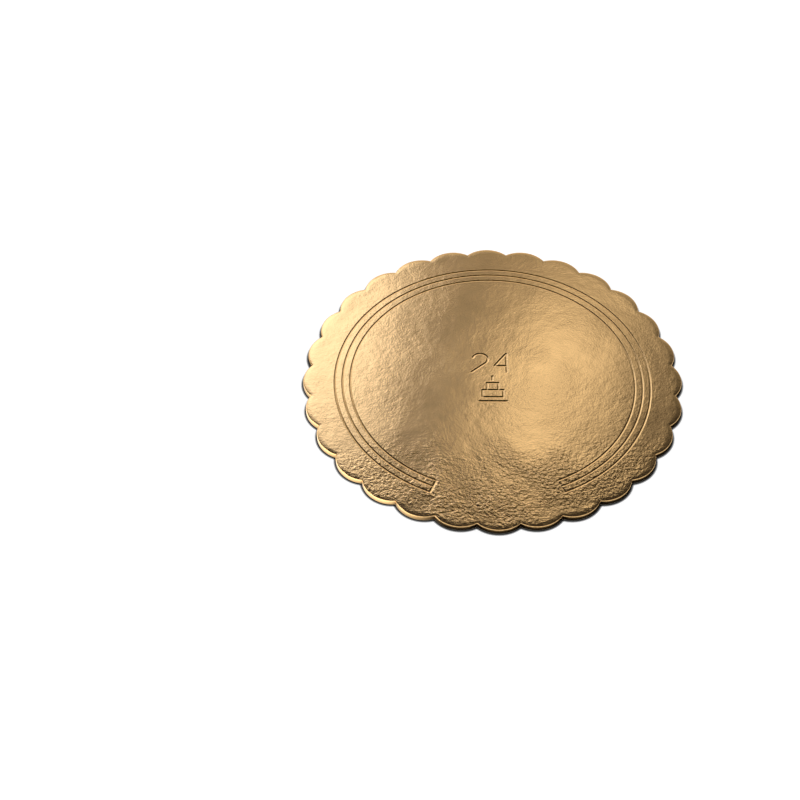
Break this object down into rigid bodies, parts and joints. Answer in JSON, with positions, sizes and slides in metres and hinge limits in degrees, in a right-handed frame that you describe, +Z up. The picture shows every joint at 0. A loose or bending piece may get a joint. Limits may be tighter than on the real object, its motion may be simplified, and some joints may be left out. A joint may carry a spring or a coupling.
{
  "type": "cake board",
  "caption": "Round gold foil-faced card board with a scalloped, rounded rim and pressed rings, for carrying and serving a cake.",
  "frame": {"origin": "centre of the scalloped outline, on the underside", "axes": "+Z up out of the gold face, -Y towards the front, where the pressed rings are open and the number is read from"},
  "size_m": [0.24, 0.24, 0.004],
  "materials": {
    "gold_foil_card": "gold metallised foil laminated on card, lightly rippled"
  },
  "bodies": {
    "root": {"cake_board": "gold_foil_card"}
  },
  "joints": []
}
